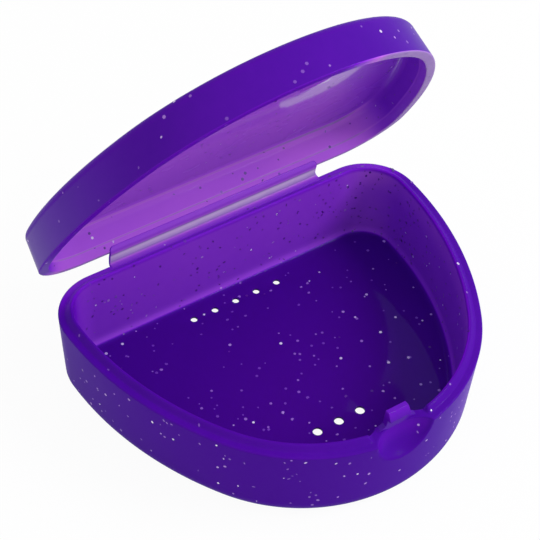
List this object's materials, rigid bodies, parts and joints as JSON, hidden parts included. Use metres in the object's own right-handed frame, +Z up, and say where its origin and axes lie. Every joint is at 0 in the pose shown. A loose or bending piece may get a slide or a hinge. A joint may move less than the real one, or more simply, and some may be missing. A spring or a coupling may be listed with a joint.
{
  "type": "retainer case",
  "caption": "Hinged dental-arch storage case: vented tray with a raised lip, thumb scoop and snap tab, and a shallow lid on a broad living-hinge strap.",
  "frame": {"origin": "middle of the tray's underside, on the surface that the case stands on", "axes": "+Z up out of the open tray; the hinge runs along X at the back, +Y; the snap tab and thumb scoop are at the front, -Y"},
  "size_m": [0.0834, 0.0717, 0.0816],
  "materials": {
    "tray_plastic": "satin translucent violet with fine glitter",
    "lid_plastic": "satin translucent violet with fine glitter",
    "strap_plastic": "glossy thin translucent violet"
  },
  "bodies": {
    "tray": {"tray": "tray_plastic", "strap_tray_leaf": "strap_plastic"},
    "latch_tab": {"latch_tab": "tray_plastic"},
    "lid": {"lid": "lid_plastic", "lid_catch": "lid_plastic", "strap_lid_leaf": "strap_plastic"}
  },
  "joints": [
    {"name": "lid_hinge", "type": "hinge", "parent": "tray", "child": "lid", "pos_m": [0, 0.0342, 0.01855], "axis": [-1, 0, 0], "range_deg": [-60.6, 119.4]},
    {"name": "latch_tab_flex", "type": "hinge", "parent": "tray", "child": "latch_tab", "pos_m": [0, -0.02825, 0.0187], "axis": [-1, 0, 0], "range_deg": [0, 8], "stiffness_Nm_per_rad": 0.16}
  ]
}
